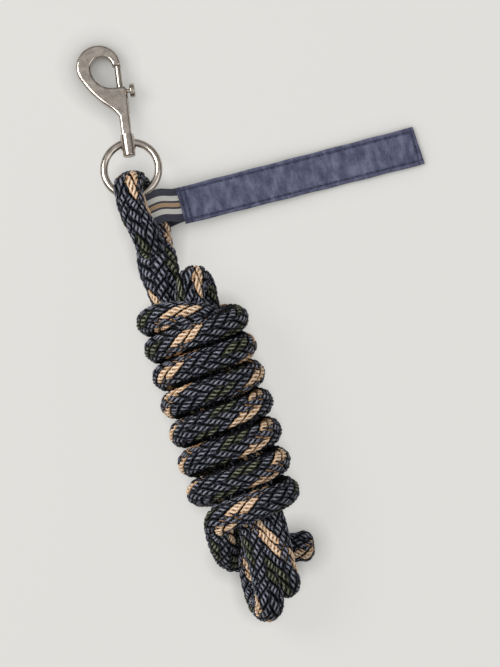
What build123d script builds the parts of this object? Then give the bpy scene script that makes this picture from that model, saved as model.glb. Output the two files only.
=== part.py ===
"""Horse lead rope wound into a hank: braided rope, swivel bolt snap and a stitched cloth tag.

Millimetres. +Y runs along the hank towards the snap, +X towards the tag's free end, +Z is up, and the
hank lies on Z = 0. The origin is under the middle of the whole object's box.
"""

from build123d import *
import math
import os

os.makedirs("parts", exist_ok=True)

# ---------------------------------------------------------------- rope and hank
ROPE_DIAMETER = 17.5
ROPE_RADIUS = ROPE_DIAMETER / 2
SPLICE_RADIUS = 12.1  # the rope with its own end buried inside it
HANK_X = -62.0
HANK_WIDTH = 64.0
HANK_HEIGHT = 58.0
HANK_TOP_Y = 22.0
HANK_END_Y = -116.0
HANK_EDGE_ROUND = 20.0
HANK_END_ROUND = 6.0
BEND_SHARE = 0.45  # an arc's share of the shorter run beside it

# ---------------------------------------------------------------- ring and bolt snap
RING_WIRE = 4.6
RING_INSIDE = 27.2
RING_RADIUS = (RING_INSIDE + RING_WIRE) / 2  # to the middle of the wire
RING_CONTACT = Vector(-73.6, 84.3, 21.9)  # the middle of the wire, where the rope goes round it
SNAP_SLOPE = 11.5  # degrees, from the rope's eye down to the table
SNAP_TURN = 8.7  # degrees, from +Y towards +X
BOSS_RADIUS = 4.2
BOSS_START = 12.9
BOSS_END = 19.2
RIVET_RADIUS = 2.0
RIVET_HEAD_RADIUS = 3.7
RIVET_HEAD_START = 7.6
RIVET_HEAD_ROUND = 0.9
RIVET_DEPTH = 2.8  # of the rivet's tail in the shank
WASHER_RADIUS = 4.3
WASHER_THICKNESS = 1.1
RUNNING_GAP = 0.06
FACE_GAP = 0.08

HOOK_THICKNESS = 6.2
HOOK_EDGE_ROUND = 1.6
SHANK_START = BOSS_END + FACE_GAP
SHANK_END = 49.3
SHANK_LEFT = -3.1
SHANK_RIGHT = (2.9, 3.3)  # at the collar and at the shoulder
SHOULDER_SIZE = (0.9, 1.8)  # across and along the shank
COLLAR_RADIUS = 3.9
COLLAR_LENGTH = 1.2
HOOK_CENTRE = (-11.5, 63.0)
HOOK_OUTER_RADIUS = 13.0
EYE_CENTRE = (-9.7, 61.9)
EYE_RADIUS = 6.4
BACK_CORNER = (-8.6, 38.2)
BACK_FOOT_Y = 31.4
TIP_Y = 61.6

BOLT_X = -0.5
BOLT_RADIUS = 1.85
BOLT_START = 39.6
BOLT_TIP_DEPTH = 0.6  # of the bolt's nose in the hook's tip
BOLT_TRAVEL = 12.0
BORE_START = 22.6
KNOB_Y = 46.6
KNOB_RADIUS = 4.1
KNOB_FACE_X = 8.0
KNOB_THICKNESS = 3.0
KNOB_ROUND = 0.9
STEM_RADIUS = 1.25
SPRING_RADIUS = 1.3
SPRING_WIRE = 0.45
SPRING_TURNS = 10

# ---------------------------------------------------------------- cloth tag
TAG_LENGTH = 142.7
TAG_WIDTH = 23.0
TAG_LAYER = 1.1
TAG_TURN = -2.0  # degrees, of the tag's length from +X
TAG_AXIS = Vector(-67.4, 71.2, 0)  # under the middle of the rope's run through the ribbon
TAG_SEAM_X = 17.9  # from the rope's run to the tag's end
TAG_SEAM_Z = 7.4
TAG_END_Z = 1.45
TAG_SAG_POWER = 2.6
TAG_STEPS = 8
RIBBON_WIDTH = 21.0
RIBBON_THICKNESS = 0.5
RIBBON_INSIDE = 9.55
RIBBON_TAIL = 6.0
STITCH_LENGTH = 2.3
STITCH_PITCH = 3.1
STITCH_WIDTH = 0.5
STITCH_INSET = 2.6
STITCH_PROUD = 0.15

# ---------------------------------------------------------------- rope: routes and helpers
RUN_Z = ROPE_RADIUS + RIBBON_THICKNESS + 0.95  # the lower run lies on the ribbon's lower layer
OVER_Z = RUN_Z + 24.4  # the upper run, over the ring's wire

EYE_ROUTE = [
    (-75.4, 58.5, 28.0),
    (-76.2, 71.5, OVER_Z - 0.8),
    (-76.2, 95.8, OVER_Z),
    (-68.3, 95.8, RUN_Z),
    (-67.0, 58.0, RUN_Z),
]

TAIL_ROUTE = [
    (-81.5, HANK_END_Y, ROPE_RADIUS + 0.2),
    (-81.5, -135.0, ROPE_RADIUS + 0.2),
    (-57.0, -137.2, ROPE_RADIUS),
    (-32.3, -141.0, ROPE_RADIUS),
]

NECK_START = (-71.8, 51.5, 15.8)
NECK_END = (-73.4, HANK_TOP_Y, 28.0)
NECK_FULL = 16.0  # the stretch that is as thick as the rope and its buried end
NECK_ROUND = 5.0
UPPER_LEG_END = (-72.6, 36.5, 22.0)
LOWER_LEG_END = (-72.2, 44.0, 18.9)


def bend_radii(points):
    """The largest arc that each corner's two runs leave room for."""
    vectors = [Vector(*point) for point in points]
    radii = []
    for before, corner, after in zip(vectors, vectors[1:], vectors[2:]):
        shorter = min((corner - before).length, (after - corner).length)
        half_turn = math.radians((corner - before).get_angle(after - corner)) / 2
        radii.append(BEND_SHARE * shorter / math.tan(half_turn))
    return radii


def rope_tube(points, name):
    """A round tube along straight runs and tangent arcs."""
    radii = bend_radii(points)
    with BuildPart() as tube:
        with BuildLine() as route:
            FilletPolyline(*points, radius=radii)
        with BuildSketch(Plane(origin=route.line @ 0, z_dir=route.line % 0)):
            Circle(ROPE_RADIUS)
        sweep()
    length = sum(edge.length for edge in route.line.edges())
    share = tube.part.volume / (math.pi * ROPE_RADIUS**2 * length)
    print(name, "radii", [round(radius, 1) for radius in radii], "length", round(length, 1))
    print(name, "volume against section times length", round(share, 4))
    return tube


def finish(part, name):
    part.label = name
    export_step(part, f"parts/{name}.step")


# ---------------------------------------------------------------- rope: eye, splice, hank, bights, tail
rope_eye = rope_tube(EYE_ROUTE, "rope_eye")
finish(rope_eye.part, "rope_eye")

rope_tail = rope_tube(TAIL_ROUTE, "rope_tail")
finish(rope_tail.part, "rope_tail")

# The splice: the thick neck, which thins to one rope at the hank, and both legs of the eye that meet in it.
neck = Plane(
    origin=NECK_START,
    x_dir=(1, 0, 0),
    z_dir=Vector(*NECK_END) - Vector(*NECK_START),
)
neck_length = math.dist(NECK_START, NECK_END)
with BuildPart() as rope_splice:
    with BuildSketch(neck):
        Circle(SPLICE_RADIUS)
    extrude(amount=NECK_FULL)
    fillet(rope_splice.edges().group_by(Axis(neck.origin, neck.z_dir))[0], NECK_ROUND)
    with BuildSketch(neck.offset(NECK_FULL)):
        Circle(SPLICE_RADIUS)
    with BuildSketch(neck.offset(neck_length)):
        Circle(ROPE_RADIUS)
    loft(ruled=True)
    for leg_start, leg_end in ((EYE_ROUTE[0], UPPER_LEG_END), (EYE_ROUTE[-1], LOWER_LEG_END)):
        with BuildSketch(Plane(origin=leg_start, z_dir=Vector(*leg_end) - Vector(*leg_start))):
            Circle(ROPE_RADIUS)
        extrude(amount=math.dist(leg_start, leg_end))
finish(rope_splice.part, "rope_splice")

# The hank: eight turns wound over the folded rope, as one rounded block.
with BuildPart() as rope_hank:
    with BuildSketch(Plane.XZ.offset(-HANK_TOP_Y)):
        with Locations((HANK_X, HANK_HEIGHT / 2)):
            RectangleRounded(HANK_WIDTH, HANK_HEIGHT, HANK_EDGE_ROUND)
    extrude(amount=HANK_TOP_Y - HANK_END_Y)
    end_edges = rope_hank.edges().group_by(Axis.Y)
    fillet(end_edges[0] + end_edges[-1], HANK_END_ROUND)
finish(rope_hank.part, "rope_hank")


def folded_bight(x, width, root, inner, crown, radius, edge_round, name):
    """A fold of rope that sticks out of the hank's end, as one rounded block cut off at the hank's end.

    root is the Y of the hank's end; inner and crown are the (y, z) of the middles of the block's two
    round ends, and only crown's end stays."""
    middle_y, middle_z = (inner[0] + crown[0]) / 2, (inner[1] + crown[1]) / 2
    tilt = math.degrees(math.atan2(crown[1] - inner[1], crown[0] - inner[0]))
    with BuildPart() as bight:
        with BuildSketch(Plane.YZ.offset(x)):
            with Locations((middle_y, middle_z)):
                SlotCenterToCenter(math.dist(inner, crown), 2 * radius, rotation=tilt)
        extrude(amount=width / 2, both=True)
        side_edges = bight.edges().group_by(Axis.X)
        fillet(side_edges[0] + side_edges[-1], edge_round)
        outward = Keep.TOP if crown[0] > root else Keep.BOTTOM
        split(bisect_by=Plane(origin=(x, root, 0), z_dir=(0, 1, 0)), keep=outward)
    finish(bight.part, name)
    return bight


rope_top_bight = folded_bight(
    -53.5, 20.0, HANK_TOP_Y, (5.0, 34.5), (22.5, 34.5), 12.8, 6.0, "rope_top_bight"
)
rope_bight_left = folded_bight(
    -69.0, 17.5, HANK_END_Y, (-100.0, 42.0), (-160.7, 30.5), 14.0, 7.0, "rope_bight_left"
)
rope_bight_right = folded_bight(
    -51.2, 17.5, HANK_END_Y, (-100.0, 41.0), (-152.0, 31.5), 13.5, 7.0, "rope_bight_right"
)

# ---------------------------------------------------------------- planes of the ring and snap
slope = math.radians(SNAP_SLOPE)
turn = math.radians(SNAP_TURN)
downhill = Vector(0, math.cos(slope), -math.sin(slope))
sideways = Vector(1, 0, 0)
snap_y = sideways * math.sin(turn) + downhill * math.cos(turn)
snap_x = sideways * math.cos(turn) - downhill * math.sin(turn)
snap_z = snap_x.cross(snap_y)
ring_centre = RING_CONTACT + snap_y * RING_RADIUS
snap = Plane(origin=ring_centre, x_dir=snap_x, z_dir=snap_z)
print("snap axis", snap_y, "side", snap_x, "normal", snap_z)
print("ring centre", ring_centre)
shank_axis = Axis(ring_centre, snap_y)


def in_snap(x, y, z=0.0):
    """A point given in the snap's own axes: x to the knob's side, y along the shank, z out of its face."""
    return ring_centre + snap_x * x + snap_y * y + snap_z * z


def across_shank(y, x=0.0):
    """The plane across the shank at that distance from the ring's middle."""
    return Plane(origin=in_snap(x, y), x_dir=snap_x, z_dir=snap_y)


def from_side(x, y):
    """The plane that looks at the shank from the knob's side."""
    return Plane(origin=in_snap(x, y), x_dir=snap_y, z_dir=snap_x)


# ---------------------------------------------------------------- swivel ring: wire and boss in one casting
with BuildPart() as swivel_ring:
    with BuildSketch(Plane(origin=in_snap(RING_RADIUS, 0), x_dir=snap_x, z_dir=snap_y)):
        Circle(RING_WIRE / 2)
    revolve(axis=Axis(ring_centre, snap_z))
    with BuildSketch(across_shank(BOSS_START)):
        Circle(BOSS_RADIUS)
    extrude(amount=BOSS_END - BOSS_START)
    with BuildSketch(across_shank(BOSS_START - 2)):
        Circle(RIVET_RADIUS + RUNNING_GAP)
    extrude(amount=BOSS_END - BOSS_START + 4, mode=Mode.SUBTRACT)
finish(swivel_ring.part, "swivel_ring")

# ---------------------------------------------------------------- rivet and washer that hold the ring on the shank
with BuildPart() as swivel_rivet:
    with BuildSketch(across_shank(RIVET_HEAD_START)):
        Circle(RIVET_HEAD_RADIUS)
    head_length = BOSS_START - FACE_GAP - WASHER_THICKNESS - RIVET_HEAD_START
    extrude(amount=head_length)
    fillet(swivel_rivet.edges().group_by(shank_axis)[0], RIVET_HEAD_ROUND)
    with BuildSketch(across_shank(RIVET_HEAD_START + head_length)):
        Circle(RIVET_RADIUS)
    extrude(amount=SHANK_START + RIVET_DEPTH - RIVET_HEAD_START - head_length)
finish(swivel_rivet.part, "swivel_rivet")

with BuildPart() as swivel_washer:
    with BuildSketch(across_shank(BOSS_START - FACE_GAP - WASHER_THICKNESS)):
        Circle(WASHER_RADIUS)
        Circle(RIVET_RADIUS, mode=Mode.SUBTRACT)
    extrude(amount=WASHER_THICKNESS)
finish(swivel_washer.part, "swivel_washer")

# ---------------------------------------------------------------- hook body: shank, hook and tip in one casting
foot_radius = EYE_CENTRE[1] - SHANK_END
foot_centre = (EYE_CENTRE[0] - EYE_RADIUS + foot_radius, EYE_CENTRE[1])
with BuildPart() as hook_body:
    with BuildSketch(snap):
        with BuildLine():
            right_top = (SHANK_RIGHT[1], SHANK_END - SHOULDER_SIZE[1])
            right_side = Line((SHANK_RIGHT[0], SHANK_START), right_top)
            shoulder = Line(right_side @ 1, (SHANK_RIGHT[1] - SHOULDER_SIZE[0], SHANK_END))
            gate_foot = Line(shoulder @ 1, (foot_centre[0], SHANK_END))
            inner_foot = CenterArc(foot_centre, foot_radius, 270, -90)
            inner_top = CenterArc(EYE_CENTRE, EYE_RADIUS, 180, -180)
            tip = Line(inner_top @ 1, (HOOK_CENTRE[0] + HOOK_OUTER_RADIUS, TIP_Y))
            outer_top = CenterArc(HOOK_CENTRE, HOOK_OUTER_RADIUS, 0, 205)
            tip_side = Line(tip @ 1, outer_top @ 0)
            outer_back = TangentArc(outer_top @ 1, BACK_CORNER, tangent=outer_top % 1)
            back_foot = TangentArc(outer_back @ 1, (SHANK_LEFT, BACK_FOOT_Y), tangent=outer_back % 1)
            left_side = Line(back_foot @ 1, (SHANK_LEFT, SHANK_START))
            Line(left_side @ 1, right_side @ 0)
        make_face()
    extrude(amount=HOOK_THICKNESS / 2, both=True)
    faces_up_down = hook_body.faces().filter_by(Axis(ring_centre, snap_z)).edges()
    fillet(faces_up_down, HOOK_EDGE_ROUND)
    with BuildSketch(across_shank(SHANK_START)):
        Circle(COLLAR_RADIUS)
    extrude(amount=COLLAR_LENGTH)
    # the rivet's hole
    with BuildSketch(across_shank(SHANK_START - 1)):
        Circle(RIVET_RADIUS)
    extrude(amount=RIVET_DEPTH + 1, mode=Mode.SUBTRACT)
    # the bolt's bore, and the seat for its nose in the hook's tip
    with BuildSketch(across_shank(BORE_START, BOLT_X)):
        Circle(BOLT_RADIUS + RUNNING_GAP)
    extrude(amount=TIP_Y + BOLT_TIP_DEPTH + 0.3 - BORE_START, mode=Mode.SUBTRACT)
    # the slot that the knob's stem runs in
    with BuildSketch(from_side(BOLT_X, KNOB_Y - BOLT_TRAVEL / 2)):
        SlotCenterToCenter(BOLT_TRAVEL, 2 * STEM_RADIUS + 0.5)
    extrude(amount=6, mode=Mode.SUBTRACT)
finish(hook_body.part, "hook_body")

# ---------------------------------------------------------------- bolt, knob and spring
with BuildPart() as bolt_pin:
    with BuildSketch(across_shank(BOLT_START, BOLT_X)):
        Circle(BOLT_RADIUS)
    extrude(amount=TIP_Y + BOLT_TIP_DEPTH - BOLT_START)
    fillet(bolt_pin.edges().filter_by(GeomType.CIRCLE), 0.35)
    with BuildSketch(from_side(BOLT_X, KNOB_Y)):
        Circle(STEM_RADIUS)
    extrude(amount=3, mode=Mode.SUBTRACT)
finish(bolt_pin.part, "bolt_pin")

with BuildPart() as thumb_knob:
    with BuildSketch(from_side(BOLT_X, KNOB_Y)):
        Circle(STEM_RADIUS)
    extrude(amount=KNOB_FACE_X - KNOB_THICKNESS + 0.5 - BOLT_X)
    with BuildSketch(from_side(KNOB_FACE_X - KNOB_THICKNESS, KNOB_Y)):
        Circle(KNOB_RADIUS)
    extrude(amount=KNOB_THICKNESS)
    fillet(thumb_knob.edges().filter_by(GeomType.CIRCLE).group_by(SortBy.RADIUS)[-1], KNOB_ROUND)
finish(thumb_knob.part, "thumb_knob")

spring_start = BORE_START + SPRING_WIRE / 2 + 0.02
spring_length = BOLT_START - BORE_START - SPRING_WIRE - 0.04
with BuildPart() as bolt_spring:
    with BuildLine():
        coil = Helix(
            pitch=spring_length / SPRING_TURNS,
            height=spring_length,
            radius=SPRING_RADIUS,
            center=in_snap(BOLT_X, spring_start),
            direction=snap_y,
        )
    with BuildSketch(Plane(origin=coil @ 0, z_dir=coil % 0)):
        Circle(SPRING_WIRE / 2)
    sweep(is_frenet=True)
finish(bolt_spring.part, "bolt_spring")

# ---------------------------------------------------------------- cloth tag and its ribbon
tag_turn = math.radians(TAG_TURN)
tag_along = Vector(math.cos(tag_turn), math.sin(tag_turn), 0)
tag_side = Plane(origin=TAG_AXIS, x_dir=tag_along, z_dir=tag_along.cross(Vector(0, 0, 1)))


def tag_height(along):
    """The height of the tag's middle at that distance from its seam, as it droops to the table."""
    rest = (1 - along / TAG_LENGTH) ** TAG_SAG_POWER
    return TAG_END_Z + (TAG_SEAM_Z - TAG_END_Z) * rest


def tag_edge(offset):
    return [
        (TAG_SEAM_X + along, tag_height(along) + offset)
        for along in [TAG_LENGTH * step / TAG_STEPS for step in range(TAG_STEPS + 1)]
    ]


def tag_layer(bottom, top, name):
    with BuildPart() as layer:
        with BuildSketch(tag_side):
            with BuildLine():
                low = Spline(*tag_edge(bottom))
                high = Spline(*tag_edge(top))
                Line(low @ 0, high @ 0)
                Line(low @ 1, high @ 1)
            make_face()
        extrude(amount=TAG_WIDTH / 2, both=True)
    finish(layer.part, name)
    return layer


tag_front = tag_layer(0.0, TAG_LAYER, "tag_front")
tag_back = tag_layer(-TAG_LAYER, 0.0, "tag_back")


def teardrop(radius, tip_x):
    """The outline of a band pulled tight from a round of that radius to a point at the tag's seam."""
    tip = (tip_x, TAG_SEAM_Z)
    spread = math.degrees(math.acos(radius / math.dist(tip, (0, RUN_Z))))
    facing = math.degrees(math.atan2(TAG_SEAM_Z - RUN_Z, tip_x))
    with BuildLine() as outline:
        bend = CenterArc((0, RUN_Z), radius, facing + spread, 360 - 2 * spread)
        Line(tip, bend @ 0)
        Line(bend @ 1, tip)
    return outline.line


# The ribbon goes round the rope's lower run, and both its ends are sewn between the tag's layers.
ribbon_outside = teardrop(RIBBON_INSIDE + RIBBON_THICKNESS, TAG_SEAM_X + 0.8)
ribbon_inside = teardrop(RIBBON_INSIDE, TAG_SEAM_X - 1.0)
with BuildPart() as ribbon_loop:
    with BuildSketch(tag_side):
        make_face(ribbon_outside.edges())
        make_face(ribbon_inside.edges(), mode=Mode.SUBTRACT)
        with Locations((TAG_SEAM_X + RIBBON_TAIL / 2 - 0.8, tag_height(RIBBON_TAIL / 2))):
            Rectangle(RIBBON_TAIL, 2 * RIBBON_THICKNESS)
    extrude(amount=RIBBON_WIDTH / 2, both=True)
finish(ribbon_loop.part, "ribbon_loop")


def stitch_places():
    """(along, across, lengthways) for each stitch: two long rows, two seams at the ribbon, one at the end."""
    places = []
    long_count = int((TAG_LENGTH - 2 * STITCH_INSET) / STITCH_PITCH)
    row_across = TAG_WIDTH / 2 - STITCH_INSET
    for across in (-row_across, row_across):
        for step in range(long_count):
            places.append((STITCH_INSET + STITCH_PITCH * (step + 0.5), across, True))
    short_count = int((TAG_WIDTH - 2 * STITCH_INSET) / STITCH_PITCH)
    for along in (1.4, 4.2, TAG_LENGTH - 1.8):
        for step in range(short_count):
            places.append((along, (step - (short_count - 1) / 2) * STITCH_PITCH, False))
    return places


with BuildPart() as tag_stitching:
    for along, across, lengthways in stitch_places():
        middle = TAG_AXIS + tag_along * (TAG_SEAM_X + along) + Vector(0, 0, tag_height(along))
        across_tag = Vector(-tag_along.Y, tag_along.X, 0)
        with BuildSketch(Plane(origin=middle + across_tag * across, x_dir=tag_along, z_dir=(0, 0, 1))):
            if lengthways:
                Rectangle(STITCH_LENGTH, STITCH_WIDTH)
            else:
                Rectangle(STITCH_WIDTH, STITCH_LENGTH)
        extrude(amount=TAG_LAYER + STITCH_PROUD, both=True)
finish(tag_stitching.part, "tag_stitching")
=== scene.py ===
"""A horse lead rope wound into a hank, with its bolt snap and cloth tag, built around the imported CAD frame.

Metres, in the CAD's own frame: +Y runs along the hank towards the snap, +X towards the tag's free end, and
the object lies on Z = 0.
"""

import math

import bpy
import numpy as np
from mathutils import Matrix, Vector


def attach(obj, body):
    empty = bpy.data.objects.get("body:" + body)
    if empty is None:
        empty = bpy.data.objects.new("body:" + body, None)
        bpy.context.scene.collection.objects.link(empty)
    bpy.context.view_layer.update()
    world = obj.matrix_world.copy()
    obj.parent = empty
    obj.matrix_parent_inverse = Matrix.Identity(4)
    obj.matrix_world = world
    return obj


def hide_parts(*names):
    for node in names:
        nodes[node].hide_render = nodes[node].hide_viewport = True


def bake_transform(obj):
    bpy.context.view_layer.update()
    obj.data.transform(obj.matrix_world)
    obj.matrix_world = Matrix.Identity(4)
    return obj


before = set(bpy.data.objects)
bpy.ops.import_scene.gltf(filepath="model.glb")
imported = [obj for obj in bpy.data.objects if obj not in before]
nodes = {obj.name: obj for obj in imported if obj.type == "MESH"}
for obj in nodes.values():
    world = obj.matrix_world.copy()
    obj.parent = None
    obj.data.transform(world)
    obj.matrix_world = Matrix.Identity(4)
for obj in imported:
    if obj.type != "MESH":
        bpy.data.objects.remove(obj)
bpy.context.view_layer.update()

# ---------------------------------------------------------------- camera, floor and light
VIEW_ROLL = math.radians(16.4)  # the hank's tilt in the picture
VIEW_CENTRE = (-0.0320, -0.0113, 0.02)
VIEW_HEIGHT = 0.3869  # of the picture, at the middle of the rope's height
VIEW_DISTANCE = 2.5
SENSOR = 36.0
KEY_LIGHT = {"place": (-1.05, 0.80, 1.45), "size": 0.9, "power": 30.0, "colour": (1.0, 0.99, 0.97)}
FILL_LIGHT = {"place": (1.2, -0.5, 1.5), "size": 1.4, "power": 7.0, "colour": (0.97, 0.98, 1.0)}
FLOOR_HALF_SIZE = 3
FLOOR_DIFFUSE = (0.10, 0.10, 0.097)
FLOOR_GLOW = (0.640, 0.632, 0.607)
HORIZON_LIGHT = (0.03, 0.03, 0.03)
ROOM_LIGHT = (0.30, 0.30, 0.30)
CEILING_LIGHT = (0.62, 0.62, 0.62)
SHADE_REACH = 0.014  # of the floor's painted soft shade beside what lies on it

# ---------------------------------------------------------------- rope
ROPE_RADIUS = 0.00875
NECK_RADIUS = 0.0121  # where the splice swells it
NECK_SWELL_BEFORE = (0.012, -0.004)  # from and to, before the neck's first point along the rope
NECK_SWELL_AFTER = (0.012, 0.034)
RING_CONTACT = (-0.0736, 0.0843, 0.0219)  # the middle of the ring's wire inside the eye
CROWN_FLATTENING = 0.29  # over the ring's wire, as a share of the rope's thickness
CROWN_WIDENING = 0.06
CROWN_REACH = 0.012
TURN_FLATTENING = 0.05  # where turns press on each other
TURN_WIDENING = 0.03

BURIED_END = [(-0.0722, 0.0300, 0.0240), (-0.0728, 0.0430, 0.0180)]
EYE_ROUTE = [
    (-0.0730, 0.0520, 0.0250),
    (-0.0735, 0.0590, 0.0325),
    (-0.0746, 0.0660, 0.0340),
    (-0.0768, 0.0760, 0.0344),
    (-0.0756, 0.0930, 0.0344),
    (-0.0718, 0.0930, 0.0100),
    (-0.0698, 0.0780, 0.0104),
    (-0.0673, 0.0670, 0.0104),
    (-0.0672, 0.0590, 0.0112),
]
NECK_ROUTE = [
    (-0.0712, 0.0500, 0.0160),
    (-0.0722, 0.0400, 0.0222),
    (-0.0724, 0.0320, 0.0255),
    (-0.0735, 0.0240, 0.0280),
]
FIRST_LEG = [(-0.0735, 0.0080, 0.0320), (-0.0700, -0.0300, 0.0350), (-0.0670, -0.0800, 0.0360)]
LEFT_BIGHT = [
    (-0.0620, -0.1160, 0.0405),
    (-0.0620, -0.1310, 0.0410),
    (-0.0627, -0.1480, 0.0380),
    (-0.0648, -0.1665, 0.0350),
    (-0.0698, -0.1665, 0.0130),
    (-0.0698, -0.1480, 0.0150),
    (-0.0668, -0.1340, 0.0255),
    (-0.0670, -0.1160, 0.0270),
]
SECOND_LEG = [(-0.0630, -0.0800, 0.0220), (-0.0600, -0.0300, 0.0220)]
TOP_BIGHT = [
    (-0.0540, 0.0000, 0.0230),
    (-0.0522, 0.0130, 0.0235),
    (-0.0510, 0.0276, 0.0250),
    (-0.0572, 0.0276, 0.0418),
    (-0.0602, 0.0150, 0.0405),
    (-0.0600, 0.0000, 0.0372),
]
THIRD_LEG = [(-0.0540, -0.0400, 0.0370), (-0.0530, -0.0850, 0.0375)]
RIGHT_BIGHT = [
    (-0.0505, -0.1170, 0.0390),
    (-0.0512, -0.1310, 0.0385),
    (-0.0525, -0.1430, 0.0370),
    (-0.0525, -0.1560, 0.0340),
    (-0.0535, -0.1565, 0.0145),
    (-0.0560, -0.1405, 0.0160),
    (-0.0558, -0.1310, 0.0262),
    (-0.0540, -0.1160, 0.0270),
]
FOURTH_LEG = [
    (-0.0520, -0.0800, 0.0260),
    (-0.0500, -0.0350, 0.0260),
    (-0.0470, -0.0060, 0.0290),
    (-0.0515, 0.0035, 0.0400),
    (-0.0620, 0.0085, 0.0492),
    (-0.0728, 0.0116, 0.0494),
]
TAIL_ROUTE = [
    (-0.0814, -0.1120, 0.0390),
    (-0.0814, -0.1260, 0.0285),
    (-0.0800, -0.1335, 0.0130),
    (-0.0725, -0.1352, 0.0096),
    (-0.0570, -0.1372, 0.0093),
    (-0.0430, -0.1378, 0.0096),
    (-0.0315, -0.1398, 0.0106),
]

# the eight turns wound round the four legs
TURN_X = -0.0617
TURN_Z = 0.0294
TURN_HALF_WIDTH = 0.0236
TURN_HALF_HEIGHT = 0.0206
TURN_SQUARENESS = 2.5
TURN_POINTS = 16
FIRST_STEP = 2  # the first of a turn's points that follows the shape; the ones before are in FOURTH_LEG
LAST_TURN = 7.125  # turns from the middle of the first turn's front to where the tail leaves
FIRST_TURN_Y = 0.0133
TURN_PITCH = 0.01593
TURN_PITCH_GROWTH = 0.00018
TURN_LEAN = 0.0018

# ---------------------------------------------------------------- braid
CARRIERS = 8  # yarn bundles in each direction
LEAD = 0.0570  # along the rope, for one turn of a bundle round it
SAMPLES_PER_WEAVE = 14
PLIES = 4  # twisted together in each bundle
PLY_HALF_WIDTH = 0.00080
PLY_HALF_THICKNESS = 0.00056
PLY_SIDES = 5
PLY_PHASE = 2.4  # between the plies of neighbouring bundles, in radians
PLY_PITCH = 0.0072  # along the rope, for one turn of the plies round their bundle
BUNDLE_SPREAD = 0.00150  # from the bundle's middle to its outer plies
BUNDLE_DEPTH = 0.00042
WEAVE_WAVE = 0.00058  # how far a bundle rises and falls as it goes over and under
TAN_CARRIERS = (0, 1)
OLIVE_CARRIERS = (3, 4)
NAVY_PIECES = 6
PRESSED_PAINTED_SHADE = 0.8  # painted shade on the yarn where the next turn presses on it
PRESSED_SHADE_OFFSET = 0.25
CORE_SIDES = 16
END_FLARE = 0.14  # the cut end opens by this share of the rope's radius
END_LENGTH = 0.016
END_ROUNDING = 0.0045

# ---------------------------------------------------------------- cloth tag and its ribbon
TAG_LENGTH = 0.1427
TAG_WIDTH = 0.0228
TAG_HALF_WIDTH = TAG_WIDTH / 2
TAG_LAYER = 0.0011
TAG_TURN = math.radians(-2.0)
TAG_AXIS = np.array([-0.0674, 0.0719, 0.0])
TAG_SEAM_X = 0.0179
TAG_SEAM_Z = 0.0074
TAG_END_Z = 0.0017
TAG_SAG_POWER = 2.6
TAG_SEAMS = (0.0014, 0.0042, TAG_LENGTH - 0.0018)
STITCH_LENGTH = 0.0023
STITCH_PITCH = 0.0031
STITCH_WIDTH = 0.0005
STITCH_INSET = 0.0026
RIBBON_WIDTH = 0.0196
RIBBON_SHIFT = 0.0010  # from the tag's middle line towards the snap
RIBBON_THICKNESS = 0.0005
RIBBON_RADIUS = 0.0101
RIBBON_CENTRE_X = -0.0005
RIBBON_CENTRE_Z = 0.0108


def turn_point(turns):
    """A point of the winding, with turns counted from the middle of the first turn's front."""
    angle = math.tau * turns
    side, top = math.sin(angle), math.cos(angle)
    reach = (
        abs(side / TURN_HALF_WIDTH) ** TURN_SQUARENESS + abs(top / TURN_HALF_HEIGHT) ** TURN_SQUARENESS
    ) ** (-1 / TURN_SQUARENESS)
    down = TURN_PITCH * turns + TURN_PITCH_GROWTH * turns**2
    return (TURN_X - reach * side, FIRST_TURN_Y - down + TURN_LEAN * side, TURN_Z + reach * top)


def winding():
    count = round(LAST_TURN * TURN_POINTS)
    return [turn_point(step / TURN_POINTS) for step in range(FIRST_STEP, count + 1)]


def collection_add(obj):
    bpy.context.scene.collection.objects.link(obj)
    return obj


def rope_spline(points):
    """The rope's route as a NURBS curve with no thickness, and the points down its middle."""
    curve = bpy.data.curves.new("rope_route", "CURVE")
    curve.dimensions = "3D"
    curve.resolution_u = 12
    spline = curve.splines.new("NURBS")
    spline.points.add(len(points) - 1)
    for control, place in zip(spline.points, points):
        control.co = (*place, 1.0)
    spline.order_u = 3
    spline.use_endpoint_u = True
    holder = bpy.data.objects.new("rope_route", curve)
    mesh = bpy.data.meshes.new_from_object(holder)
    line = np.array([v.co for v in mesh.vertices], float)
    bpy.data.meshes.remove(mesh)
    bpy.data.objects.remove(holder)
    bpy.data.curves.remove(curve)
    return line


def even(line, step):
    """The line again, with points a step apart, and how far along each one is."""
    along = np.concatenate([[0], np.cumsum(np.linalg.norm(np.diff(line, axis=0), axis=1))])
    places = np.linspace(0, along[-1], math.ceil(along[-1] / step) + 1)
    return np.stack([np.interp(places, along, line[:, k]) for k in range(3)], axis=1), places


def unit(vectors):
    return vectors / np.linalg.norm(vectors, axis=-1, keepdims=True)


def carried_frame(line):
    """Directions along the line and across it, with the across directions carried along without twist."""
    forward = unit(np.gradient(line, axis=0))
    across = np.zeros_like(line)
    across[0] = unit(np.cross(forward[0], (0, 0, 1)))
    for i in range(1, len(line)):
        carried = across[i - 1] - forward[i] * (across[i - 1] @ forward[i])
        across[i] = carried / np.linalg.norm(carried)
    return forward, across, np.cross(forward, across)


def mesh_object(name, points, faces, smooth=True):
    mesh = bpy.data.meshes.new(name)
    mesh.from_pydata(np.asarray(points).tolist(), [], [list(face) for face in faces])
    mesh.polygons.foreach_set("use_smooth", [smooth] * len(mesh.polygons))
    return collection_add(bpy.data.objects.new(name, mesh))


def tube_faces(rings, sides, start=0):
    """Quads of a closed tube of that many rings, as an array of vertex numbers."""
    ring, side = np.meshgrid(np.arange(rings - 1), np.arange(sides), indexing="ij")
    a = start + ring * sides + side
    b = start + ring * sides + (side + 1) % sides
    return np.stack([a, b, b + sides, a + sides], axis=-1).reshape(-1, 4)


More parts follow.
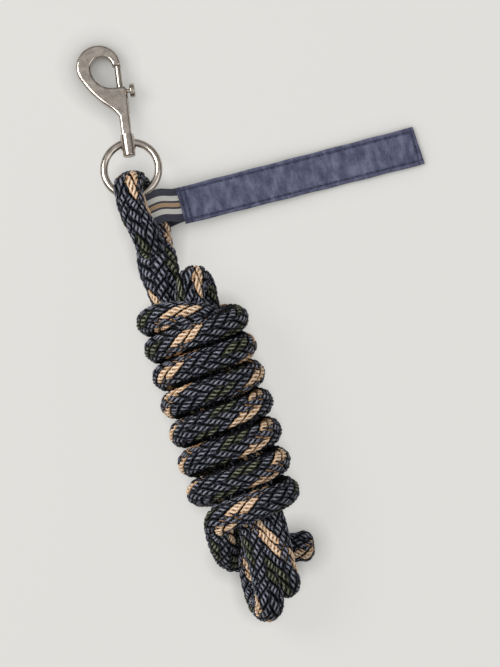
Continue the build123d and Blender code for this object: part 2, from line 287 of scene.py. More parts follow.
# ---------------------------------------------------------------- the rope's line
route = (
    BURIED_END
    + EYE_ROUTE
    + NECK_ROUTE
    + FIRST_LEG
    + LEFT_BIGHT
    + SECOND_LEG
    + TOP_BIGHT
    + THIRD_LEG
    + RIGHT_BIGHT
    + FOURTH_LEG
    + winding()
    + TAIL_ROUTE
)
rope_line = rope_spline(route)
weave_length = 4 * LEAD / (2 * CARRIERS)
middle, along = even(rope_line, weave_length / SAMPLES_PER_WEAVE)
forward, across, up = carried_frame(middle)
rope_length = along[-1]


def nearest_along(place):
    """How far along the rope its point nearest to that place is."""
    return along[np.argmin(np.linalg.norm(middle - np.array(place), axis=1))]


def smooth_step(value, low, high):
    t = np.clip((value - low) / (high - low), 0, 1)
    return t * t * (3 - 2 * t)


neck_top = nearest_along(NECK_ROUTE[0])
crown_along = (nearest_along(EYE_ROUTE[4]) + nearest_along(EYE_ROUTE[5])) / 2
first_turn_along = nearest_along(turn_point(0))
last_turn_along = nearest_along(turn_point(LAST_TURN - 0.25))

swell = smooth_step(along, neck_top - NECK_SWELL_BEFORE[0], neck_top - NECK_SWELL_BEFORE[1])
swell *= 1 - smooth_step(along, neck_top + NECK_SWELL_AFTER[0], neck_top + NECK_SWELL_AFTER[1])
rope_radius = ROPE_RADIUS + (NECK_RADIUS - ROPE_RADIUS) * swell
to_end = rope_length - along
rope_radius = rope_radius * (1 + END_FLARE * (1 - np.clip(to_end / END_LENGTH, 0, 1)) ** 2)
rope_radius = rope_radius * (1 - 0.45 * (1 - np.clip(to_end / END_ROUNDING, 0, 1)) ** 2)

# squeeze: the rope is flatter where the ring's wire bends it, and where turns press on each other
at_crown = np.exp(-(((along - crown_along) / CROWN_REACH) ** 2))
in_turns = smooth_step(along, first_turn_along - 0.02, first_turn_along + 0.01)
in_turns *= 1 - smooth_step(along, last_turn_along - 0.01, last_turn_along + 0.02)
one_turn = nearest_along(turn_point(1)) - first_turn_along
turn_before = smooth_step(along, first_turn_along + 0.6 * one_turn, first_turn_along + 0.9 * one_turn)
turn_after = 1 - smooth_step(along, last_turn_along - one_turn, last_turn_along - 0.7 * one_turn)
squeeze_way = at_crown[:, None] * unit(middle - np.array(RING_CONTACT))
squeeze_way = squeeze_way + in_turns[:, None] * np.array([0.0, 1.0, 0.0])
squeeze_way += 1e-6 * across  # so that it has a direction everywhere
squeeze_way -= forward * (squeeze_way * forward).sum(1, keepdims=True)
squeeze_way = unit(squeeze_way)
squeeze_side = np.cross(forward, squeeze_way)
squeeze_depth = 1 - CROWN_FLATTENING * at_crown - TURN_FLATTENING * in_turns
squeeze_width = 1 + CROWN_WIDENING * at_crown + TURN_WIDENING * in_turns


def squeezed(points, rows):
    """Points around the rope's line, flattened as the rope is there; rows says each one's sample."""
    offset = points - middle[rows]
    depth = (offset * squeeze_way[rows]).sum(-1, keepdims=True)
    width = (offset * squeeze_side[rows]).sum(-1, keepdims=True)
    return (
        points
        + squeeze_way[rows] * depth * (squeeze_depth[rows, None] - 1)
        + squeeze_side[rows] * width * (squeeze_width[rows, None] - 1)
    )


def ply(carrier, hand, number):
    """One ply's tube: its points, its fibre coordinates in millimetres and its painted light share, which
    paints shade where the ply lies deep or the next turn presses on it and highlight on its raised outer
    side.

    hand is 1 for a right-handed bundle and -1 for a left-handed one. A bundle lies over two of the other
    hand's bundles and under the next two, and which two depends only on the place round the rope."""
    samples = len(middle)
    turned = math.tau * (along / PLY_PITCH + number / PLIES) + PLY_PHASE * carrier
    aside = BUNDLE_SPREAD * np.cos(turned)
    raised = np.sin(turned)
    slant = math.atan(math.tau * ROPE_RADIUS / LEAD)
    angle = hand * math.tau * along / LEAD + math.tau * carrier / CARRIERS + rope_twist
    angle = angle + hand * aside / (ROPE_RADIUS * math.cos(slant))
    place = (angle - rope_twist) * CARRIERS / math.pi
    rise = np.cos(math.tau * (place - (0.5 if hand > 0 else 2.5)) / 4)
    rise = np.sign(rise) * np.abs(rise) ** 0.7
    grown = rope_radius / ROPE_RADIUS
    radius = rope_radius - PLY_HALF_THICKNESS - BUNDLE_DEPTH * (1 - raised) - WEAVE_WAVE * (1 - rise)
    outward = np.cos(angle)[:, None] * across + np.sin(angle)[:, None] * up
    centre = middle + outward * radius[:, None]
    heading = unit(np.gradient(centre, axis=0))
    sideways = unit(np.cross(heading, outward))
    lifted = np.cross(sideways, heading)
    turn = np.arange(PLY_SIDES) * math.tau / PLY_SIDES + math.pi / 2
    half_width = (PLY_HALF_WIDTH * grown)[:, None, None]
    rings = (
        centre[:, None, :]
        + half_width * np.cos(turn)[None, :, None] * sideways[:, None, :]
        + PLY_HALF_THICKNESS * np.sin(turn)[None, :, None] * lifted[:, None, :]
    )
    rows = np.repeat(np.arange(samples), PLY_SIDES)
    points = squeezed(rings.reshape(-1, 3), rows)
    seed = 7.3 * carrier + 31.0 * number + (400.0 if hand > 0 else 0.0)
    fibre = np.stack(
        [
            np.broadcast_to(along[:, None] * 1000 + seed, (samples, PLY_SIDES)),
            np.broadcast_to(np.cos(turn)[None, :] + seed, (samples, PLY_SIDES)),
            np.broadcast_to(np.sin(turn)[None, :] + 0.0, (samples, PLY_SIDES)),
        ],
        axis=-1,
    )
    # painted light: lighter on the raised, outward side of each ply; painted shade deep in the braid and
    # where the next turn presses on it
    height = (0.5 + 0.5 * raised) * (0.5 + 0.5 * rise)
    outside = height[:, None] * (0.45 + 0.55 * np.clip(np.sin(turn), 0, 1))[None, :]
    facing_back = (unit(points - middle[rows]) * squeeze_way[rows]).sum(-1)
    pressed_shade = turn_before[rows] * smooth_step(facing_back, 0.80, 0.98)
    pressed_shade = in_turns[rows] * np.maximum(pressed_shade, turn_after[rows] * smooth_step(-facing_back, 0.80, 0.98))
    painted_light_share = outside.reshape(-1) * (1 - PRESSED_PAINTED_SHADE * pressed_shade) - PRESSED_SHADE_OFFSET * pressed_shade
    return points, fibre.reshape(-1, 3), painted_light_share


def yarn_piece(name, carriers, material):
    """Several bundles as one mesh, with closed ends."""
    points, fibres, painted_light_shares, faces, ends = [], [], [], [], []
    per_ply = len(middle) * PLY_SIDES
    for carrier, hand in carriers:
        for number in range(PLIES):
            start = len(points) * per_ply
            ply_points, fibre, painted_light_share = ply(carrier, hand, number)
            points.append(ply_points)
            fibres.append(fibre)
            painted_light_shares.append(painted_light_share)
            faces.append(tube_faces(len(middle), PLY_SIDES, start))
            ends.append([start + side for side in reversed(range(PLY_SIDES))])
            ends.append([start + per_ply - PLY_SIDES + side for side in range(PLY_SIDES)])
    piece = mesh_object(name, np.concatenate(points), np.concatenate(faces).tolist() + ends)
    mesh = piece.data
    fibre_attribute = mesh.attributes.new("fibre", "FLOAT_VECTOR", "POINT")
    fibre_attribute.data.foreach_set("vector", np.concatenate(fibres).astype(np.float32).ravel())
    painted_light_attribute = mesh.attributes.new("painted_light", "FLOAT", "POINT")
    painted_light_attribute.data.foreach_set("value", np.concatenate(painted_light_shares).astype(np.float32))
    mesh.materials.append(material)
    return piece


# ---------------------------------------------------------------- materials
def new_material(name):
    material = bpy.data.materials.new(name)
    material.use_nodes = True
    return material, material.node_tree, material.node_tree.nodes["Principled BSDF"]


def node(tree, kind, **settings):
    made = tree.nodes.new(kind)
    for key, value in settings.items():
        if key in made.inputs:
            made.inputs[key].default_value = value
        else:
            setattr(made, key, value)
    return made


def ramp(tree, source, stops):
    """A colour ramp fed by source, with (place, colour) stops."""
    made = tree.nodes.new("ShaderNodeValToRGB")
    tree.links.new(source, made.inputs["Fac"])
    elements = made.color_ramp.elements
    while len(elements) < len(stops):
        elements.new(0.5)
    for element, (place, colour) in zip(elements, stops):
        element.position = place
        element.color = (*colour, 1.0)
    return made.outputs["Color"]


def scaled(tree, source, scale):
    made = tree.nodes.new("ShaderNodeVectorMath")
    made.operation = "MULTIPLY"
    tree.links.new(source, made.inputs[0])
    made.inputs[1].default_value = scale
    return made.outputs["Vector"]


def bump(tree, height, distance):
    made = node(tree, "ShaderNodeBump", Distance=distance, Strength=1.0)
    tree.links.new(height, made.inputs["Height"])
    return made.outputs["Normal"]


def yarn_material(name, dark, main, light, roughness):
    """Twisted fibres: streaks along the ply, a few of them painted bright as highlights on raised plies, and
    painted shade where a ply lies deep.
    """
    material, tree, shader = new_material(name)
    fibre = tree.nodes.new("ShaderNodeAttribute")
    fibre.attribute_name = "fibre"
    painted_light_input = tree.nodes.new("ShaderNodeAttribute")
    painted_light_input.attribute_name = "painted_light"
    coordinates = scaled(tree, fibre.outputs["Vector"], (0.75, 2.3, 2.3))
    streaks = node(tree, "ShaderNodeTexNoise", Scale=1.0, Detail=3.0, Roughness=0.65)
    tree.links.new(coordinates, streaks.inputs["Vector"])
    lit = tree.nodes.new("ShaderNodeMath")
    lit.operation = "MULTIPLY_ADD"
    tree.links.new(painted_light_input.outputs["Fac"], lit.inputs[0])
    lit.inputs[1].default_value = 0.55
    tree.links.new(streaks.outputs["Fac"], lit.inputs[2])
    # dark is painted shade, light is painted highlight, main is the yarn's own colour
    colour = ramp(tree, lit.outputs["Value"], [(0.54, dark), (0.78, main), (1.02, light)])
    tree.links.new(colour, shader.inputs["Base Color"])
    tree.links.new(bump(tree, streaks.outputs["Fac"], 0.0003), shader.inputs["Normal"])
    dullness = tree.nodes.new("ShaderNodeMath")
    dullness.operation = "MULTIPLY_ADD"
    tree.links.new(painted_light_input.outputs["Fac"], dullness.inputs[0])
    dullness.inputs[1].default_value = roughness - 1.0
    dullness.inputs[2].default_value = 1.0
    tree.links.new(dullness.outputs["Value"], shader.inputs["Roughness"])
    shader.inputs["Specular IOR Level"].default_value = 0.2
    return material


def plain_material(name, colour, roughness):
    material, tree, shader = new_material(name)
    shader.inputs["Base Color"].default_value = (*colour, 1.0)
    shader.inputs["Roughness"].default_value = roughness
    return material


def metal_material(name, colour, roughness):
    """Plated metal with faint wear and uneven polish."""
    material, tree, shader = new_material(name)
    place = tree.nodes.new("ShaderNodeTexCoord")
    mottle = node(tree, "ShaderNodeTexNoise", Scale=260.0, Detail=4.0, Roughness=0.6)
    tree.links.new(place.outputs["Object"], mottle.inputs["Vector"])
    light = tuple(min(1.0, c * 1.25) for c in colour)
    dark = tuple(c * 0.8 for c in colour)
    colour_out = ramp(tree, mottle.outputs["Fac"], [(0.35, dark), (0.65, light)])
    tree.links.new(colour_out, shader.inputs["Base Color"])
    shader.inputs["Metallic"].default_value = 1.0
    shader.inputs["Roughness"].default_value = roughness
    tree.links.new(bump(tree, mottle.outputs["Fac"], 0.00002), shader.inputs["Normal"])
    return material


navy_yarn = yarn_material(
    "navy_yarn",
    dark=(0.0006, 0.0006, 0.0012),
    main=(0.017, 0.019, 0.029),
    light=(0.29, 0.30, 0.36),
    roughness=0.42,
)
olive_yarn = yarn_material(
    "olive_yarn",
    dark=(0.001, 0.001, 0.0007),
    main=(0.030, 0.034, 0.020),
    light=(0.25, 0.26, 0.18),
    roughness=0.45,
)
tan_yarn = yarn_material(
    "tan_yarn",
    dark=(0.35, 0.20, 0.10),
    main=(0.74, 0.52, 0.34),
    light=(0.92, 0.76, 0.60),
    roughness=0.45,
)
# near-black: painted shade where the core shows between the bundles
rope_core_shade_material = plain_material("rope_core", (0.0006, 0.0006, 0.001), 0.9)
snap_metal = metal_material("snap_metal", (0.46, 0.405, 0.355), 0.16)
spring_metal = metal_material("spring_metal", (0.5, 0.49, 0.48), 0.3)
thread_material = plain_material("thread", (0.02, 0.022, 0.05), 0.7)

# ---------------------------------------------------------------- rope pieces
# places where the pair of tan bundles comes to the rope's surface, in the order along the rope
TAN_SHOWS = [
    (-0.0700, 0.0900, 0.0410),
    (-0.0620, 0.0600, 0.0170),
    (-0.0835, 0.0420, 0.0215),
    (-0.0700, -0.1680, 0.0300),
    (-0.0545, 0.0360, 0.0340),
    (-0.0530, 0.0230, 0.0440),
    (-0.0450, -0.1400, 0.0450),
    (-0.0370, -0.1430, 0.0190),
]
# and, turn by turn, how far along the rope past the middle of the turn's front it comes to the top
TAN_PAST_FRONT = [0.0060, 0.0045, 0.0195, -0.0280, -0.0150, -0.0180, -0.0220, 0.0042]


def set_twist():
    """How far the braid is turned at each sample, so that the tan pair shows at the places above."""
    targets = [(nearest_along(place), np.array(place)) for place in TAN_SHOWS]
    for number, past in enumerate(TAN_PAST_FRONT):
        place = nearest_along(turn_point(number)) + past
        targets.append((place, middle[np.searchsorted(along, place)] + np.array([0.0, 0.0, ROPE_RADIUS])))
    targets.sort(key=lambda target: target[0])
    pair = math.tau * sum(TAN_CARRIERS) / len(TAN_CARRIERS) / CARRIERS
    places, twists, last = [], [], 0.0
    for place, surface in targets:
        row = min(np.searchsorted(along, place), len(along) - 1)
        offset = surface - middle[row]
        wanted = math.atan2(offset @ up[row], offset @ across[row]) + math.tau * place / LEAD - pair
        last = wanted - math.tau * round((wanted - last) / math.tau)
        places.append(place)
        twists.append(last)
    return np.interp(along, places, twists)


rope_twist = set_twist()

left_hand = [(carrier, -1) for carrier in range(CARRIERS)]
right_hand = [(carrier, 1) for carrier in range(CARRIERS)]
tan = [left_hand[i] for i in TAN_CARRIERS]
olive = [left_hand[i] for i in OLIVE_CARRIERS]
navy = [c for c in left_hand if c not in tan and c not in olive] + right_hand
rope_pieces = [yarn_piece("rope_yarns_tan", tan, tan_yarn), yarn_piece("rope_yarns_olive", olive, olive_yarn)]
for share in range(NAVY_PIECES):
    rope_pieces.append(yarn_piece(f"rope_yarns_navy_{share + 1}", navy[share::NAVY_PIECES], navy_yarn))


def rope_core():
    """The filling inside the braid, near-black as painted shade where it shows between the bundles."""
    sides = CORE_SIDES
    turn = np.arange(sides) * math.tau / sides
    radius = rope_radius - 2 * PLY_HALF_THICKNESS - 2 * BUNDLE_DEPTH - 0.8 * WEAVE_WAVE
    rings = middle[:, None, :] + radius[:, None, None] * (
        np.cos(turn)[None, :, None] * across[:, None, :] + np.sin(turn)[None, :, None] * up[:, None, :]
    )
    points = squeezed(rings.reshape(-1, 3), np.repeat(np.arange(len(middle)), sides))
    faces = tube_faces(len(middle), sides).tolist()
    faces.append(list(reversed(range(sides))))
    faces.append([len(points) - sides + side for side in range(sides)])
    core = mesh_object("rope_core", points, faces)
    core.data.materials.append(rope_core_shade_material)
    return core


rope_pieces.append(rope_core())
for piece in rope_pieces:
    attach(piece, "rope")
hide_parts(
    "rope_eye",
    "rope_splice",
    "rope_hank",
    "rope_top_bight",
    "rope_bight_left",
    "rope_bight_right",
    "rope_tail",
)

# ---------------------------------------------------------------- cloth: materials
def weave_coordinates(tree):
    """The cloth's own coordinates: millimetres along it and across it."""
    cloth = tree.nodes.new("ShaderNodeAttribute")
    cloth.attribute_name = "cloth"
    return cloth.outputs["Vector"]


def combine(tree, operation, first, second):
    made = tree.nodes.new("ShaderNodeMath")
    made.operation = operation
    for socket, value in zip(made.inputs, (first, second)):
        if isinstance(value, (int, float)):
            socket.default_value = value
        else:
            tree.links.new(value, socket)
    return made.outputs["Value"]


def noise(tree, coordinates, scale, detail=3.0, roughness=0.6):
    made = node(tree, "ShaderNodeTexNoise", Scale=1.0, Detail=detail, Roughness=roughness)
    tree.links.new(scaled(tree, coordinates, scale), made.inputs["Vector"])
    return made.outputs["Fac"]


def twill_material(name, dark, main, worn):
    """Twill with fine slanted ribs, worn lighter in blotches, and painted shade in the grooves beside its
    seams.
    """
    material, tree, shader = new_material(name)
    place = weave_coordinates(tree)
    ribs = node(tree, "ShaderNodeTexWave", Scale=1.0, Distortion=0.6, Detail=1.0)
    ribs.bands_direction = "DIAGONAL"
    tree.links.new(scaled(tree, place, (0.42, 0.42, 0.42)), ribs.inputs["Vector"])
    grain = noise(tree, place, (2.6, 2.6, 1.0), 2.0)
    blotches = noise(tree, place, (0.20, 0.10, 1.0), 3.0)
    grain_part = combine(tree, "MULTIPLY", grain, 0.35)
    blotch_part = combine(tree, "MULTIPLY", blotches, 0.65)
    tone = combine(tree, "ADD", grain_part, blotch_part)
    hollow = tree.nodes.new("ShaderNodeAttribute")
    hollow.attribute_name = "hollow"
    # painted shade in the grooves that the stitching pulls into the cloth
    tone = combine(tree, "SUBTRACT", tone, combine(tree, "MULTIPLY", hollow.outputs["Fac"], 0.16))
    tree.links.new(ramp(tree, tone, [(0.34, dark), (0.48, main), (0.62, worn)]), shader.inputs["Base Color"])
    relief = combine(tree, "ADD", combine(tree, "MULTIPLY", ribs.outputs["Fac"], 0.5), grain)
    tree.links.new(bump(tree, relief, 0.00022), shader.inputs["Normal"])
    shader.inputs["Roughness"].default_value = 0.8
    shader.inputs["Specular IOR Level"].default_value = 0.2
    shader.inputs["Sheen Weight"].default_value = 0.12
    return material


def striped_material(name, ground, pale, warm):
    """Ribbed ribbon with two pale stripes and a narrow warm one between them."""
    material, tree, shader = new_material(name)
    place = weave_coordinates(tree)
    parts = tree.nodes.new("ShaderNodeSeparateXYZ")
    tree.links.new(place, parts.inputs["Vector"])
    aside = combine(tree, "ABSOLUTE", parts.outputs["Y"], 0.0)
    across_share = combine(tree, "DIVIDE", aside, 1000 * RIBBON_WIDTH / 2)
    stripes = [
        (0.0, warm),
        (0.12, warm),
        (0.13, ground),
        (0.24, ground),
        (0.25, pale),
        (0.55, pale),
        (0.56, ground),
    ]
    colour = ramp(tree, across_share, stripes)
    tree.links.new(colour, shader.inputs["Base Color"])
    ribs = combine(tree, "SINE", combine(tree, "MULTIPLY", parts.outputs["X"], math.tau / 0.7), 0.0)
    tree.links.new(bump(tree, ribs, 0.00005), shader.inputs["Normal"])
    shader.inputs["Roughness"].default_value = 0.45
    shader.inputs["Sheen Weight"].default_value = 0.1
    return material


tag_cloth_material = twill_material(
    "tag_cloth",
    dark=(0.038, 0.041, 0.078),
    main=(0.080, 0.084, 0.143),
    worn=(0.150, 0.155, 0.235),
)
ribbon_material = striped_material(
    "ribbon",
    ground=(0.035, 0.036, 0.060),
    pale=(0.74, 0.72, 0.66),
    warm=(0.50, 0.33, 0.19),
)

# ---------------------------------------------------------------- cloth tag
tag_along = np.array([math.cos(TAG_TURN), math.sin(TAG_TURN), 0.0])
tag_across = np.array([-math.sin(TAG_TURN), math.cos(TAG_TURN), 0.0])


def tag_place(lengthways, sideways, height):
    """Points of the tag, from its seam, its middle line and its middle surface."""
    share = np.clip(1 - lengthways / TAG_LENGTH, 0, 1.02)
    rest = TAG_END_Z + (TAG_SEAM_Z - TAG_END_Z) * share**TAG_SAG_POWER
    wave = 0.00035 * np.sin(math.tau * lengthways / 0.052) * np.sin(math.pi * np.clip(1 - share, 0, 1))
    return (
        TAG_AXIS
        + (TAG_SEAM_X + lengthways)[..., None] * tag_along
        + sideways[..., None] * tag_across
        + (rest + wave + height)[..., None] * np.array([0.0, 0.0, 1.0])
    )


def sewn_hollow(lengthways, sideways):
    """1 in the grooves that the stitching pulls into the cloth, falling to 0 away from them."""
    row = TAG_HALF_WIDTH - STITCH_INSET
    hollow = np.exp(-(((np.abs(sideways) - row) / 0.0007) ** 2))
    for seam in TAG_SEAMS:
        hollow = np.maximum(hollow, np.exp(-(((lengthways - seam) / 0.0006) ** 2)))
    return hollow


def puckers(lengthways, sideways):
    """Small gathers beside the stitching, and a slight swell of the cloth between."""
    row = TAG_HALF_WIDTH - STITCH_INSET
    side = np.sign(sideways)
    phase = 1.6 * np.sin(math.tau * lengthways / 0.037 + 2 * side) + 0.9 * side
    gathers = np.sin(math.tau * lengthways / 0.0058 + phase)
    near = np.exp(-(((np.abs(sideways) - row) / 0.0021) ** 2))
    middle_swell = np.sin(math.tau * lengthways / 0.029 + 300 * sideways) * (1 - near)
    return 0.00022 * gathers * near + 0.00010 * middle_swell


def cloth_solid(name, top, bottom, cloth, hollow, material):
    """A closed mesh between two grids of points, with the cloth's own coordinates in millimetres."""
    rows, columns = top.shape[:2]
    number = np.arange(rows * columns).reshape(rows, columns)
    under = number + rows * columns
    corners = [number[:-1, :-1], number[1:, :-1], number[1:, 1:], number[:-1, 1:]]
    faces = np.stack(corners, axis=-1).reshape(-1, 4)
    faces = faces.tolist() + (faces[:, ::-1] + rows * columns).tolist()
    rim = np.concatenate([number[0, :], number[1:, -1], number[-1, -2::-1], number[-2:0:-1, 0]])
    rim_under = np.concatenate([under[0, :], under[1:, -1], under[-1, -2::-1], under[-2:0:-1, 0]])
    for i in range(len(rim)):
        j = (i + 1) % len(rim)
        faces.append([rim[j], rim[i], rim_under[i], rim_under[j]][::-1])
    piece = mesh_object(name, np.concatenate([top.reshape(-1, 3), bottom.reshape(-1, 3)]), faces)
    values = np.concatenate([cloth.reshape(-1, 2)] * 2)
    values = np.concatenate([values, np.zeros((len(values), 1))], axis=1).astype(np.float32)
    piece.data.attributes.new("cloth", "FLOAT_VECTOR", "POINT").data.foreach_set("vector", values.ravel())
    # how deep each point lies in a stitching groove, used for painted shade there
    painted_shade = np.concatenate([hollow.ravel()] * 2).astype(np.float32)
    piece.data.attributes.new("hollow", "FLOAT", "POINT").data.foreach_set("value", painted_shade)
    piece.data.materials.append(material)
    return piece


def tag_layer(name, side):
    """One of the tag's layers: side is 1 for the front one and -1 for the back one."""
    share, aside = np.meshgrid(np.linspace(0, 1, 261), np.linspace(-1, 1, 43), indexing="ij")
    half_width = TAG_HALF_WIDTH * (0.955 + 0.04 * share) + 0.00012 * np.sin(math.tau * share * 6 + 2 * aside)
    start = -0.0012 * (0.5 + 0.5 * aside)
    end = TAG_LENGTH - 0.0003 + 0.0016 * (0.5 - 0.5 * aside)
    lengthways = start + (end - start) * share
    sideways = half_width * aside
    to_edge = np.minimum(half_width - np.abs(sideways), np.minimum(lengthways - start, end - lengthways))
    rounding = 1 - np.clip(to_edge / 0.0009, 0, 1)
    thickness = TAG_LAYER * (1 - 0.55 * rounding**2)
    hollow = sewn_hollow(lengthways, sideways)
    relief = puckers(lengthways, sideways) * (1 - rounding) - 0.00028 * hollow
    outer = tag_place(lengthways, sideways, side * (thickness + relief * (1.0 if side > 0 else 0.4)))
    inner = tag_place(lengthways, sideways, np.full_like(share, side * 0.00002))
    cloth = np.stack([lengthways * 1000, sideways * 1000], axis=-1)
    top, bottom = (outer, inner) if side > 0 else (inner, outer)
    return cloth_solid(name, top, bottom, cloth, hollow, tag_cloth_material)


def stitches(name):
    """Every stitch of the tag, on both its faces, as short threads that dip into the cloth at their ends."""
    count = int((TAG_LENGTH - 2 * STITCH_INSET) / STITCH_PITCH)
    row = TAG_HALF_WIDTH * 0.97 - STITCH_INSET
    places = []
    for side in (-1, 1):
        for step in range(count):
            places.append((STITCH_INSET + STITCH_PITCH * (step + 0.5), side * row, 1.0, 0.0))
    short_count = int((TAG_WIDTH - 2 * STITCH_INSET) / STITCH_PITCH)
    for seam in TAG_SEAMS:
        for step in range(short_count):
            places.append((seam, (step - (short_count - 1) / 2) * STITCH_PITCH, 0.0, 1.0))
    travel = np.linspace(-0.5, 0.5, 7)
    turn = np.arange(6) * math.tau / 6
    points, faces = [], []
    for lengthways, sideways, way_long, way_side in places:
        for side in (1, -1):
            place_long = np.full((7, 6), lengthways) + (travel * STITCH_LENGTH * way_long)[:, None]
            place_side = np.full((7, 6), sideways) + (travel * STITCH_LENGTH * way_side)[:, None]
            place_long = place_long + STITCH_WIDTH / 2 * np.cos(turn)[None, :] * way_side
            place_side = place_side + STITCH_WIDTH / 2 * np.cos(turn)[None, :] * way_long
            arch = TAG_LAYER - 0.00012 - 0.0014 * travel**2
            height = side * (arch[:, None] + 0.00016 * np.sin(turn)[None, :])
            start = len(points) * 42
            points.append(tag_place(place_long, place_side, height).reshape(-1, 3))
            faces += tube_faces(7, 6, start).tolist()
            faces.append([start + k for k in reversed(range(6))])
            faces.append([start + 36 + k for k in range(6)])
    piece = mesh_object(name, np.concatenate(points), faces)
    piece.data.materials.append(thread_material)
    return piece


def ribbon_line():
    """The ribbon's run: from inside the tag, over the rope, round it and back, as (along, height) points."""
    tip = np.array([TAG_SEAM_X, TAG_SEAM_Z])
    centre = np.array([RIBBON_CENTRE_X, RIBBON_CENTRE_Z])
    reach = np.linalg.norm(tip - centre)
    spread = math.acos(RIBBON_RADIUS / reach)
    facing = math.atan2(tip[1] - centre[1], tip[0] - centre[0])
    bend = np.linspace(facing + spread, facing + math.tau - spread, 60)
    loop = centre + RIBBON_RADIUS * np.stack([np.cos(bend), np.sin(bend)], axis=-1)
    step = np.linspace(0, 1, 16)[:, None]
    rise = tip + (loop[0] - tip) * step + np.array([0.0, 0.0009]) * np.sin(math.pi * step)
    fall = loop[-1] + (tip - loop[-1]) * step
    inward = tip + np.array([0.0050, -0.0004])
    lift = np.array([0.0, RIBBON_THICKNESS / 2])
    first = inward + lift + (tip - inward) * np.linspace(0, 1, 6)[:, None]
    last = tip - lift + (inward - tip) * np.linspace(0, 1, 6)[:, None]
    line = np.concatenate([first[:-1], rise[:-1], loop[:-1], fall[:-1], last])
    lengths = np.concatenate([[0], np.cumsum(np.linalg.norm(np.diff(line, axis=0), axis=1))])
    places = np.linspace(0, lengths[-1], 150)
    return np.stack([np.interp(places, lengths, line[:, k]) for k in (0, 1)], axis=-1), places


def ribbon(name):
    line, places = ribbon_line()
    heading = unit(np.gradient(line, axis=0))
    outward = np.stack([-heading[:, 1], heading[:, 0]], axis=-1)
    share = places / places[-1]
    skew = -0.0042 * np.exp(-(((share - 0.66) / 0.17) ** 2))
    skew = skew + 0.0020 * np.exp(-(((share - 0.25) / 0.10) ** 2))
    aside = np.linspace(-1, 1, 31)
    sideways = RIBBON_SHIFT + RIBBON_WIDTH / 2 * aside[None, :] + skew[:, None]
    curl = 0.0004 * aside[None, :] ** 2 * np.sin(math.tau * share * 3)[:, None]
    faces_out = []
    for side in (-1, 1):
        flat = line[:, None, :] + outward[:, None, :] * (curl + side * RIBBON_THICKNESS / 2)[..., None]
        faces_out.append(
            TAG_AXIS
            + flat[..., :1] * tag_along
            + sideways[..., None] * tag_across
            + flat[..., 1:] * np.array([0.0, 0.0, 1.0])
        )
    flat_places = np.broadcast_arrays(places[:, None] * 1000, RIBBON_WIDTH / 2 * aside[None, :] * 1000)
    cloth = np.stack(flat_places, axis=-1)
    unsewn = np.zeros(cloth.shape[:2])
    return cloth_solid(name, faces_out[0], faces_out[1], cloth, unsewn, ribbon_material), places[-1]


tag_front = tag_layer("tag_front_cloth", 1)
tag_back = tag_layer("tag_back_cloth", -1)
tag_stitches = stitches("tag_stitches")
tag_ribbon, ribbon_length = ribbon("tag_ribbon")
for piece, stands_for, material_slot in (
    (tag_front, "tag_front", "tag_cloth"),
    (tag_back, "tag_back", "tag_cloth"),
    (tag_stitches, "tag_stitching", "thread"),
    (tag_ribbon, "ribbon_loop", "ribbon"),
):
    if piece is not tag_ribbon:
        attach(piece, "tag")
    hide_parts(stands_for)
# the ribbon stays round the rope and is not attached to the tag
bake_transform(tag_ribbon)

# ---------------------------------------------------------------- CAD nodes that stay
for name in ("hook_body", "swivel_ring", "swivel_rivet", "swivel_washer", "bolt_pin", "thumb_knob"):
    nodes[name].data.materials.clear()
    nodes[name].data.materials.append(snap_metal)

# the spring's coils as a mesh of their own, in place of the CAD node
spring_node = nodes["bolt_spring"]
spring_points = np.array([spring_node.matrix_world @ v.co for v in spring_node.data.vertices])
spring_faces = [face.vertices for face in spring_node.data.polygons]
spring_coils = mesh_object("bolt_spring_coils", spring_points, spring_faces)
spring_coils.data.materials.append(spring_metal)
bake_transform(spring_coils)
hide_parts("bolt_spring")

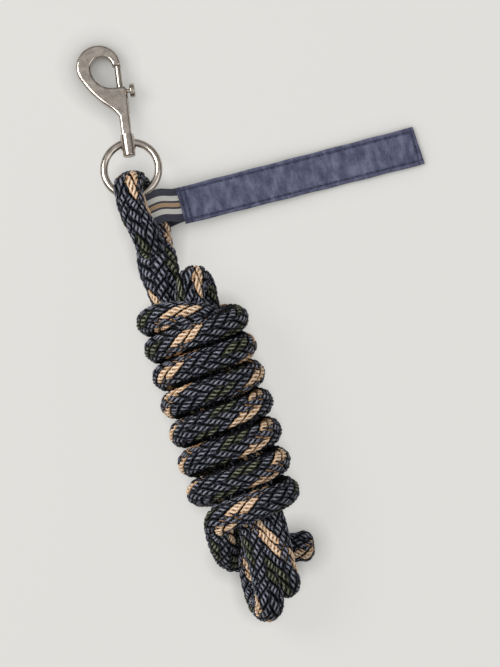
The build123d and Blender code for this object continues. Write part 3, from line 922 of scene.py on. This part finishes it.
# ---------------------------------------------------------------- stage
floor_ways = ((-1, -1), (1, -1), (1, 1), (-1, 1))
floor_corners = [(x * FLOOR_HALF_SIZE, y * FLOOR_HALF_SIZE, 0) for x, y in floor_ways]
floor = mesh_object("floor", floor_corners, [(0, 1, 2, 3)], smooth=False)
floor_material = plain_material("floor", FLOOR_DIFFUSE, 1.0)
floor_shader = floor_material.node_tree.nodes["Principled BSDF"]
floor_shader.inputs["Specular IOR Level"].default_value = 0.0
floor_tree = floor_material.node_tree
# the floor glows evenly; ambient occlusion darkens the glow near what lies on it, painting soft shade there
painted_shade = node(floor_tree, "ShaderNodeAmbientOcclusion", Color=(*FLOOR_GLOW, 1.0), Distance=SHADE_REACH)
floor_tree.links.new(painted_shade.outputs["Color"], floor_shader.inputs["Emission Color"])
floor_shader.inputs["Emission Strength"].default_value = 1.0
floor.data.materials.append(floor_material)


def area_light(name, place, size, power, colour):
    lamp = bpy.data.lights.new(name, "AREA")
    lamp.energy = power
    lamp.size = size
    lamp.color = colour
    obj = collection_add(bpy.data.objects.new(name, lamp))
    obj.location = place
    obj.rotation_mode = "QUATERNION"
    obj.rotation_quaternion = (Vector(VIEW_CENTRE) - Vector(place)).to_track_quat("-Z", "Y")


area_light("key", **KEY_LIGHT)
area_light("fill", **FILL_LIGHT)
world = bpy.data.worlds.new("studio")
world.use_nodes = True
sky = world.node_tree
direction = sky.nodes.new("ShaderNodeTexCoord")
parts = sky.nodes.new("ShaderNodeSeparateXYZ")
sky.links.new(direction.outputs["Generated"], parts.inputs["Vector"])
sky_stops = [(0.05, HORIZON_LIGHT), (0.45, ROOM_LIGHT), (0.9, CEILING_LIGHT)]
sky_colour = ramp(sky, parts.outputs["Z"], sky_stops)
sky.links.new(sky_colour, sky.nodes["Background"].inputs["Color"])
sky.nodes["Background"].inputs["Strength"].default_value = 1.0
bpy.context.scene.world = world
bpy.context.scene.view_settings.view_transform = "Standard"

camera = bpy.data.cameras.new("camera")
camera.sensor_width = SENSOR
camera.lens = SENSOR * VIEW_DISTANCE / VIEW_HEIGHT
camera_object = collection_add(bpy.data.objects.new("camera", camera))
camera_object.location = (VIEW_CENTRE[0], VIEW_CENTRE[1], VIEW_CENTRE[2] + VIEW_DISTANCE)
camera_object.rotation_euler = (0.0, 0.0, -VIEW_ROLL)
bpy.context.scene.camera = camera_object
